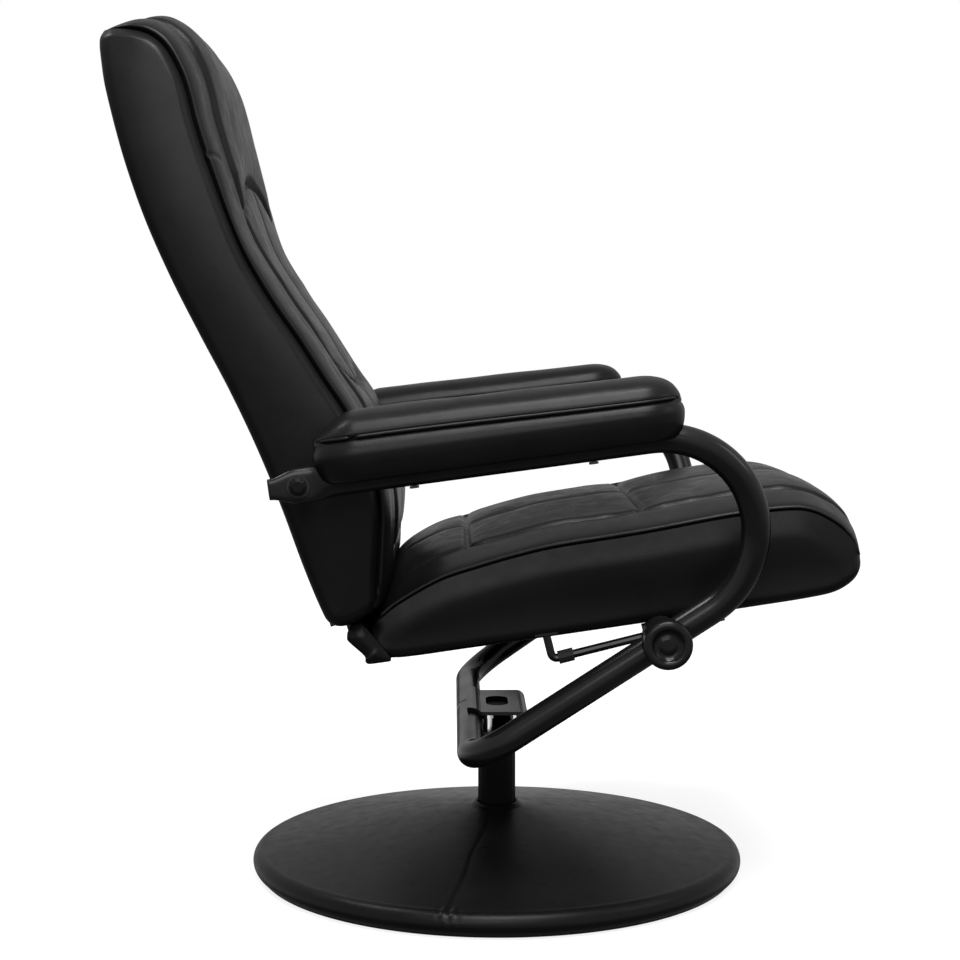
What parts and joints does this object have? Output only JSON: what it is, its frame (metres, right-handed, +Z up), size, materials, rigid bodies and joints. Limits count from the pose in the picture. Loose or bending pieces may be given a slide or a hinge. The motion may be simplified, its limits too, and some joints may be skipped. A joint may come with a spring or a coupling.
{
  "type": "swivel recliner",
  "caption": "Leather-covered recliner on a round swivel base: bent tube arms, padded armrests, and a backrest and seat that recline together and lock with side knobs.",
  "frame": {"origin": "on the floor, at the centre of the base's underside, on the swivel axis", "axes": "+X the way the sitter faces, +Y the sitter's left, +Z up along the swivel axis"},
  "size_m": [0.7883, 0.76, 0.9603],
  "materials": {
    "leather": "semi-gloss black faux leather with stitched seams and piping",
    "black_paint": "satin black powder coat",
    "black_plastic": "satin black plastic",
    "steel": "zinc-plated steel",
    "plywood": "bare plywood",
    "nylon": "natural nylon",
    "rubber": "matt black rubber"
  },
  "bodies": {
    "base": {"floor_pad": "rubber", "base_plate": "steel", "base_cover": "leather", "base_post": "black_paint", "lower_swivel_bush": "nylon", "upper_swivel_bush": "nylon"},
    "frame": {"thrust_washer": "steel", "swivel_spindle": "black_paint", "frame_bracket": "black_paint", "spindle_flange": "black_paint", "bracket_bolt_1": "steel", "bracket_bolt_2": "steel", "bracket_bolt_3": "steel", "bracket_bolt_4": "steel", "tube_joiner": "black_paint", "frame_tube_right": "black_paint", "frame_tube_left": "black_paint", "arm_pad_right": "leather", "arm_pad_left": "leather", "arm_board_right": "plywood", "arm_board_left": "plywood", "arm_screw_rear_right": "steel", "arm_screw_front_right": "steel", "arm_screw_rear_left": "steel", "arm_screw_front_left": "steel"},
    "back": {"back_shell": "leather", "back_board": "plywood", "back_hoop": "black_paint", "back_cushion": "leather", "pivot_washer_right": "nylon", "pivot_washer_left": "nylon", "pivot_spacer_right": "black_paint", "pivot_spacer_left": "black_paint", "pivot_bolt_right": "black_paint", "pivot_bolt_left": "black_paint", "pivot_plate_right": "black_paint", "pivot_plate_left": "black_paint", "back_hinge_strap_right": "black_paint", "back_hinge_strap_left": "black_paint"},
    "seat": {"seat_body_foam": "leather", "seat_board": "plywood", "seat_cushion": "leather", "seat_hinge_strap_right": "black_paint", "seat_hinge_strap_left": "black_paint", "hinge_pin_right": "steel", "hinge_pin_left": "steel", "guide_rod_right": "black_paint", "guide_rod_left": "black_paint", "rod_foot_rear_right": "black_paint", "rod_foot_rear_left": "black_paint", "rod_foot_front_right": "black_paint", "rod_foot_front_left": "black_paint", "rod_stop_right": "rubber", "rod_stop_left": "rubber"},
    "clamp_right": {"clamp_block_right": "black_plastic"},
    "clamp_left": {"clamp_block_left": "black_plastic"},
    "knob_right": {"knob_right": "black_plastic", "knob_stud_right": "steel"},
    "knob_left": {"knob_left": "black_plastic", "knob_stud_left": "steel"}
  },
  "joints": [
    {"name": "swivel", "type": "hinge", "parent": "base", "child": "frame", "pos_m": [0, 0, 0.167], "axis": [0, 0, 1], "continuous": true},
    {"name": "back_recline", "type": "hinge", "parent": "frame", "child": "back", "pos_m": [-0.205, 0, 0.481], "axis": [0, -1, 0], "range_deg": [0, 24]},
    {"name": "seat_tilt", "type": "hinge", "parent": "back", "child": "seat", "pos_m": [-0.15, 0, 0.317], "axis": [0, 1, 0], "range_deg": [0, 28.2]},
    {"name": "clamp_turn_right", "type": "hinge", "parent": "frame", "child": "clamp_right", "pos_m": [0.1655, -0.2545, 0.3181], "axis": [0, 1, 0], "range_deg": [0, 4.2]},
    {"name": "clamp_turn_left", "type": "hinge", "parent": "frame", "child": "clamp_left", "pos_m": [0.1655, 0.2545, 0.3181], "axis": [0, 1, 0], "range_deg": [0, 4.2]},
    {"name": "knob_turn_right", "type": "hinge", "parent": "frame", "child": "knob_right", "pos_m": [0.1655, -0.2883, 0.3181], "axis": [0, -1, 0], "range_deg": [0, 180]},
    {"name": "knob_turn_left", "type": "hinge", "parent": "frame", "child": "knob_left", "pos_m": [0.1655, 0.2883, 0.3181], "axis": [0, 1, 0], "range_deg": [0, 180]}
  ],
  "couplings": [
    {"joint": "seat_tilt", "follows": "back_recline", "ratio": 1.175},
    {"joint": "clamp_turn_right", "follows": "back_recline", "ratio": 0.175},
    {"joint": "clamp_turn_left", "follows": "back_recline", "ratio": 0.175}
  ]
}
